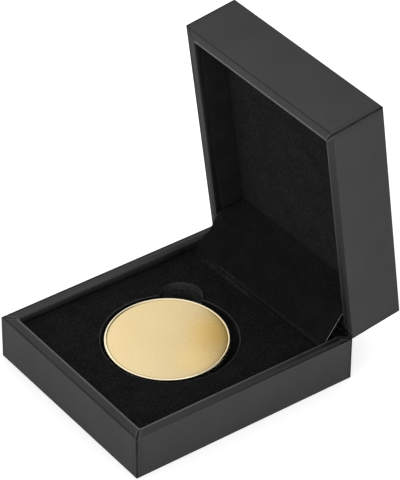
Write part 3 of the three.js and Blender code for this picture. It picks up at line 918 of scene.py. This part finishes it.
def makeCoin(settings):
    low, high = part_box("coin")
    centre = middleOf(low, high, low.z)
    bm = bmesh.new()
    section = []
    for step in range(settings["rings"] + 1):
        share = step / settings["rings"]
        height = settings["faceHeight"] - settings["dish"] * (1 - share ** 2)
        section.append((settings["faceEdge"] * share, height))
    section += settings["rim"]
    chain = [bm.verts.new(centre + Vector((radius * mm, 0, height * mm))) for radius, height in section]
    edges = [bm.edges.new((one, two)) for one, two in zip(chain, chain[1:])]
    spin(bm, chain + edges, centre, 2 * math.pi, settings["steps"], closed=True)
    bmesh.ops.remove_doubles(bm, verts=bm.verts, dist=planeGap)
    pointOutwards(bm, Vector((0, 0, 1)))
    shades = {name: bm.verts.layers.float.new(name) for name in goldLook["parts"]}
    azimuth = math.radians(cameraSettings["azimuth"])
    axis = Vector((math.cos(azimuth), math.sin(azimuth), 0))
    groove = settings["groove"]
    for vert in bm.verts:
        if vert.co.z <= centre.z + settings["topFrom"] * mm:
            continue
        reach = (vert.co - centre).xy.length / mm
        # painted highlight on the rim
        vert[shades["rim"]] = 1.0 if reach > settings["rimFrom"] else 0.0
        # painted dark reflection in the groove
        if groove["from"] < reach < groove["to"]:
            side = (vert.co - centre).dot(axis) / (settings["radius"] * mm)
            vert[shades["groove"]] = groove["middle"] - groove["slope"] * side
        # painted reflections over the face
        for name, (middle, strength, span) in settings["paintedReflections"].items():
            away = (vert.co.xy - centre.xy - Vector(middle) * mm).length
            share = clamped(strength - away / (span * mm))
            vert[shades[name]] = share * share * (3 - 2 * share)
    # It lies a little tilted towards the front right corner
    depthways = Vector((0, 0, 1)).cross(axis)
    lean = Matrix.Rotation(-math.radians(settings["lean"]), 4, depthways)
    turn = lean @ Matrix.Rotation(math.radians(settings["tilt"]), 4, axis)
    shift = Matrix.Translation(centre + Vector(settings["shift"]) * mm)
    place = shift @ turn @ Matrix.Scale(settings["scale"], 4) @ Matrix.Translation(-centre)
    settle(finishPiece("goldDisc", bm, ["gold"], 30, place), "coin", "coin")


makeCoin(coinSettings)
print("coin made")


# Velvet in the lid, made in the shut place and then turned open

padSettings = {
    "low": Vector((-40.2, -96.2, 12.45)) * mm, "high": Vector((39.9, -10.1, 20.0)) * mm,
    "edge": (1.1 * mm, 4), "crown": 0.35 * mm, "cuts": 30, "margin": 2 * mm, "wave": (0.05 * mm, 90),
    # painted light towards the hinge and towards the left
    "paintedLightHinge": 0.14, "paintedLightLeft": 0.12,
}
liningSettings = {
    # the CAD node, then from and to across, along and down in the lid, in mm
    "strips": {
        "liningLeft": ("lid_lining_left", (-40.8, -40.5), (-96.2, -5.1), (2.3, 15.45)),
        "liningRight": ("lid_lining_right", (40.2, 40.8), (-96.2, -5.1), (2.45, 15.45)),
        "liningFront": ("lid_lining_front", (-40.2, 40.2), (-97.1, -96.5), (2.45, 15.45)),
    },
    "edge": (0.22 * mm, 2), "cutsAlong": 40, "cutsDown": 8, "wave": (0.03 * mm, 110),
    # painted light, paler towards the lid's free end
    "paintedLight": {"strength": 0.3, "most": 0.6, "from": -96.2 * mm, "run": 80 * mm},
}


def makeLidPad(settings):
    low, high, margin, edge = (settings[name] for name in ("low", "high", "margin", "edge"))
    bm = softSlab(low, high, *edge)
    for axis in (0, 1):
        evenCuts(bm, axis, low[axis] + margin, high[axis] - margin, settings["cuts"])
    paintedLight = bm.verts.layers.float.new("paintedLight")
    middleY = (low.y + high.y) / 2
    for vert in bm.verts:
        aside = vert.co.x / high.x
        rearward = (vert.co.y - middleY) / (high.y - middleY)
        if vert.co.z < low.z + edge[0]:
            crown = settings["crown"] * max(0.0, 1 - aside ** 4) * max(0.0, 1 - rearward ** 4)
            vert.co.z += settings["crown"] / 2 - crown + waved(vert.co, *settings["wave"])
        # painted light, more towards the hinge and the left
        vert[paintedLight] = settings["paintedLightHinge"] * max(0.0, rearward) + settings["paintedLightLeft"] * max(0.0, -aside) ** 3
    piece = finishPiece("lidPad", bm, ["padVelvet"], 50, lidOpen)
    settle(piece, "lid", "lid_pad")


def makeLinings(settings):
    lightPainted = settings["paintedLight"]
    for name, (node, *ranges) in settings["strips"].items():
        low, high = (Vector([pair[end] * mm for pair in ranges]) for end in (0, 1))
        bm = softSlab(low, high, *settings["edge"])
        longAxis, thinAxis = (0, 1) if name == "liningFront" else (1, 0)
        evenCuts(bm, longAxis, low[longAxis], high[longAxis], settings["cutsAlong"])
        evenCuts(bm, 2, low.z, high.z, settings["cutsDown"])
        paintedLight = bm.verts.layers.float.new("paintedLight")
        for vert in bm.verts:
            # painted light, most at the lid's free end
            back = (vert.co.y - lightPainted["from"]) / lightPainted["run"]
            vert[paintedLight] = lightPainted["strength"] * max(0.0, lightPainted["most"] - back)
            vert.co[thinAxis] += waved(vert.co, *settings["wave"])
        piece = finishPiece(name, bm, ["liningVelvet"], 50, lidOpen)
        settle(piece, "lid", node)


makeLidPad(padSettings)
makeLinings(liningSettings)
print("lid velvet made")


# Velvet flap over the hinge

flapSettings = {
    "halfWidth": 39.6 * mm, "thickness": 0.8 * mm,
    # the path's corners in mm, y and z in the base, distance from the hinge and depth in the lid
    "base": [(39.7, 6.8), (39.7, 15.8), (50.1, 29.5)],
    "lid": [(9.4, 12.45), (9.4, 17.95)],
    "bends": (1.1, 2.8, 2.4), "bendSteps": 8, "stepsAlong": 92, "stepsAcross": 88,
    "out": 0.4 * mm, "footRun": 10 * mm,
    # places along the path, with their spread; the left end sags and lifts most
    "leftReach": 9 * mm,
    "sag": {"depth": 1.1 * mm, "at": 18 * mm, "spread": 3.5 * mm},
    "lift": {"height": 0.9 * mm, "at": 12 * mm, "spread": 2.4 * mm},
    "ripple": {"height": 0.12 * mm, "from": 9 * mm, "to": 34 * mm, "noise": (90, 130, 0.3)},
    # painted light on the seam and over the crest, and a painted highlight at the left end
    "seamPaintedLight": {"at": 9.4 * mm, "slope": 0.5 * mm, "spread": 0.5 * mm, "strength": 0.3},
    "seamPaintedLightBoost": {"at": -18 * mm, "spread": 9 * mm, "strength": 0.3},
    "crestPaintedLight": {"from": 25.5 * mm, "run": 4 * mm, "past": 30 * mm, "paintedLightGradient": 14 * mm, "strength": 0.3},
    "leftEndPaintedHighlight": {"at": 24 * mm, "spread": 2 * mm, "width": 0.5 * mm},
    "clothFrom": 0.6,
}


def flapPath(settings):
    corners = [Vector((0, y * mm, z * mm)) for y, z in settings["base"]]
    corners += [lidOpen @ Vector((0, -back * mm, depth * mm)) for back, depth in settings["lid"]]
    points = [corners[0]]
    steps = settings["bendSteps"]
    for bend, last, corner, following in zip(settings["bends"], corners, corners[1:], corners[2:]):
        before, after = (corner + (end - corner).normalized() * bend * mm for end in (last, following))
        for step in range(steps + 1):
            t = step / steps
            points.append(before.lerp(corner, t).lerp(corner.lerp(after, t), t))
    points.append(corners[-1])
    return points


def alongPath(points, share):
    lengths = [(two - one).length for one, two in zip(points, points[1:])]
    target = share * sum(lengths)
    for one, two, length in zip(points, points[1:], lengths):
        if target <= length:
            return one.lerp(two, target / length), (two - one).normalized()
        target -= length
    return points[-1], (points[-1] - points[-2]).normalized()


def flapPlace(settings, point, way, across, run):
    half = settings["halfWidth"]
    sag, lift, ripple = settings["sag"], settings["lift"], settings["ripple"]
    leftEnd = math.exp(-((across + half) / settings["leftReach"]))
    lifted = lift["height"] * bell(run, lift["at"], lift["spread"])
    sagged = sag["depth"] * bell(run, sag["at"], sag["spread"])
    rise = settings["out"] + leftEnd * (lifted - sagged)
    if ripple["from"] < run < ripple["to"]:
        acrossScale, runScale, seed = ripple["noise"]
        rise += ripple["height"] * noise.noise(Vector((across * acrossScale, run * runScale, seed)))
    # away from the path, towards the coin and up
    place = point + Vector((0, -way.z, way.y)) * rise
    foot = clamped(2 - run / settings["footRun"])
    return Vector((across, place.y - foot * rearDraw(across / half, insertSettings), place.z))


def flapPaintedLight(settings, across, run):
    half = settings["halfWidth"]
    seam, seamLight, crest, left = (settings[name] for name in ("seamPaintedLight", "seamPaintedLightBoost", "crestPaintedLight", "leftEndPaintedHighlight"))
    # painted light on the seam and the crest, and a painted highlight at the left end
    seamLightStrength = seam["strength"] + seamLight["strength"] * bell(across, seamLight["at"], seamLight["spread"])
    onSeam = seamLightStrength * bell(run, seam["at"] + seam["slope"] * across / half, seam["spread"])
    onCrest = clamped((run - crest["from"]) / crest["run"]) + max(0.0, (run - crest["past"]) / crest["paintedLightGradient"])
    onLeft = bell(run, left["at"], left["spread"]) if across < left["width"] - half else 0.0
    return max(onSeam, crest["strength"] * onCrest, onLeft)


def makeFlap(settings):
    points = flapPath(settings)
    length = sum((two - one).length for one, two in zip(points, points[1:]))
    half = settings["halfWidth"]
    bm = bmesh.new()
    bmesh.ops.create_grid(bm, x_segments=settings["stepsAcross"], y_segments=settings["stepsAlong"], size=1)
    paintedLight = bm.verts.layers.float.new("paintedLight")
    depthLayer = bm.verts.layers.float.new("layer")
    for vert in bm.verts:
        across = vert.co.x * half
        share = (vert.co.y + 1) / 2
        vert.co = flapPlace(settings, *alongPath(points, share), across, share * length)
        vert[paintedLight] = flapPaintedLight(settings, across, share * length)
    bm.normal_update()
    towardsCoin = Vector((0, -0.7, 0.7))
    if sum(face.normal.dot(towardsCoin) for face in bm.faces) < 0:
        bmesh.ops.reverse_faces(bm, faces=bm.faces)
    before = set(bm.verts)
    bmesh.ops.solidify(bm, geom=bm.faces[:], thickness=settings["thickness"])
    for vert in bm.verts:
        vert[depthLayer] = 0.0 if vert in before else 1.0
    rimEdges = [edge for edge in bm.edges if abs(edge.verts[0][depthLayer] - edge.verts[1][depthLayer]) > 0.5]
    bmesh.ops.subdivide_edges(bm, edges=rimEdges, cuts=2)
    # White cloth on the back and the lower part of the cut ends
    for face in bm.faces:
        depth = sum(vert[depthLayer] for vert in face.verts) / len(face.verts)
        face.material_index = 1 if depth > settings["clothFrom"] else 0
    piece = finishPiece("hingeFlap", bm, ["flapVelvet", "whiteBackingCloth"], 60)
    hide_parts("hinge_flap")
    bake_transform(piece)
    print("flap", round(length / mm, 1), "mm long")


makeFlap(flapSettings)
print("flap made")


# Better materials on the pieces that keep their shape

finishes = {
    "_board": "greyboardCard", "_wall": "greyboardCard", "bottom_cover": "blackCoverPaper",
    "hinge_leaf": "nickeledSteel", "hinge_pin": "nickeledSteel", "_rivet": "nickeledSteel",
}
for name, node in frame["nodes"].items():
    for word, material in finishes.items():
        if word in name:
            for slot in node.material_slots:
                slot.material = materials[material]
print("materials given to the plain pieces")


# Floor, world and lamps

studioSettings = {
    "floorSize": 3.0, "floorSegments": 4, "floorGlow": 0.5, "ambient": 0.82,
    "floorShader": {
        "Roughness": 1.0, "Specular IOR Level": 0.0,
        "Base Color": (0.86, 0.86, 0.86, 1), "Emission Color": (1, 1, 1, 1),
    },
}
lampSettings = {
    # place and power
    "frontLamp": ((-0.35, -1.1, 0.55), 0.3),
    "sideLamp": ((1.15, -0.1, 0.5), 2.3),
    "rearLamp": ((-0.5, 1.0, 0.7), 1.6),
}
lampTarget = Vector((0, 0, 0.04))
lampSize = 0.8


def seenWhite(tree, otherwise, seen):
    # Camera, glossy and transmission rays see the pale studio
    path = addNode(tree, "ShaderNodeLightPath").outputs
    first = combine(tree, "MAXIMUM", path["Is Camera Ray"], path["Is Glossy Ray"])
    either = combine(tree, "MAXIMUM", first, path["Is Transmission Ray"])
    return ramp(tree, either, (otherwise, seen), (0, 1))


def makeStudio(settings):
    world = bpy.data.worlds.new("studio")
    bpy.context.scene.world = world
    world.use_nodes = True
    tree = world.node_tree
    background = tree.nodes["Background"]
    background.inputs["Color"].default_value = (1, 1, 1, 1)
    tree.links.new(seenWhite(tree, settings["ambient"], 1.0), background.inputs["Strength"])

    bm = bmesh.new()
    count = settings["floorSegments"]
    bmesh.ops.create_grid(bm, x_segments=count, y_segments=count, size=settings["floorSize"])
    materials["paleFloor"], tree, shader = newMaterial("paleFloor", settings["floorShader"])
    tree.links.new(seenWhite(tree, 0.0, settings["floorGlow"]), shader.inputs["Emission Strength"])
    finishPiece("floor", bm, ["paleFloor"])


def makeLamps(lamps):
    for name, (place, power) in lamps.items():
        light = bpy.data.lights.new(name, "AREA")
        light.shape = "DISK"
        light.size = lampSize
        light.energy = power
        lamp = bpy.data.objects.new(name, light)
        aim = (lampTarget - Vector(place)).to_track_quat("-Z", "Y")
        lamp.matrix_world = Matrix.Translation(place) @ aim.to_matrix().to_4x4()
        bpy.context.scene.collection.objects.link(lamp)


makeStudio(studioSettings)
makeLamps(lampSettings)
bpy.context.scene.view_settings.view_transform = "Standard"
print("studio made")
